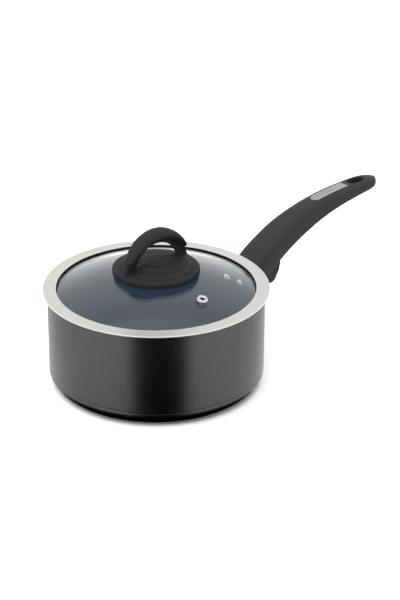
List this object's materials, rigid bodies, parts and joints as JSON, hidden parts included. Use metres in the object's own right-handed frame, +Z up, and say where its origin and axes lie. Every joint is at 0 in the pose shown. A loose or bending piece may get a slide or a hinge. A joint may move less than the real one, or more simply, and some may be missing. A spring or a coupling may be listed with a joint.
{
  "type": "saucepan",
  "caption": "Round straight-sided saucepan with a long curved riveted handle and a lift-off domed glass lid with a broad steel rim, arched knob and steam vent.",
  "frame": {"origin": "centre of the steel base disc's lower face, on the pan's axis", "axes": "+Z up along the pan's axis, +X towards the handle's end, +Y to the left of the handle seen from the pan"},
  "size_m": [0.3659, 0.192, 0.137],
  "materials": {
    "coated_aluminium": "pressed aluminium with a dark grey metallic coating outside and a blue-grey ceramic lining inside",
    "base_steel": "turned magnetic steel disc bonded in the underside",
    "bracket_black": "cast bracket, satin black paint",
    "bright_steel": "polished steel rivets, eyelet, screws and washers",
    "brushed_steel": "brushed stainless steel, fine grain",
    "black_phenolic": "matte black phenolic moulding, fine texture",
    "soft_black": "soft-touch matte black grip",
    "tempered_glass": "clear tempered glass, polished",
    "black_rubber": "black elastomer channel",
    "clear_silicone": "translucent silicone",
    "brass": "turned brass insert"
  },
  "bodies": {
    "pan": {"pan_body": "coated_aluminium", "base_disc": "base_steel", "handle_bracket": "bracket_black", "bracket_rivet_left": "bright_steel", "bracket_rivet_right": "bright_steel", "handle_grip": "black_phenolic", "handle_badge": "brushed_steel", "handle_screw": "bright_steel", "handle_screw_washer": "bright_steel"},
    "lid": {"lid_glass": "tempered_glass", "lid_band": "brushed_steel", "lid_band_cushion": "black_rubber", "vent_eyelet": "bright_steel", "vent_seal": "clear_silicone", "vent_washer": "bright_steel", "knob_base": "black_phenolic", "knob_grip": "soft_black", "knob_insert": "brass", "knob_screw": "bright_steel", "knob_screw_washer": "bright_steel", "knob_gasket": "clear_silicone", "knob_seat_gasket": "clear_silicone"}
  },
  "joints": [
    {"name": "lid_lift", "type": "slide", "parent": "pan", "child": "lid", "axis": [0, 0, 1], "range_m": [0, 0.12]}
  ]
}
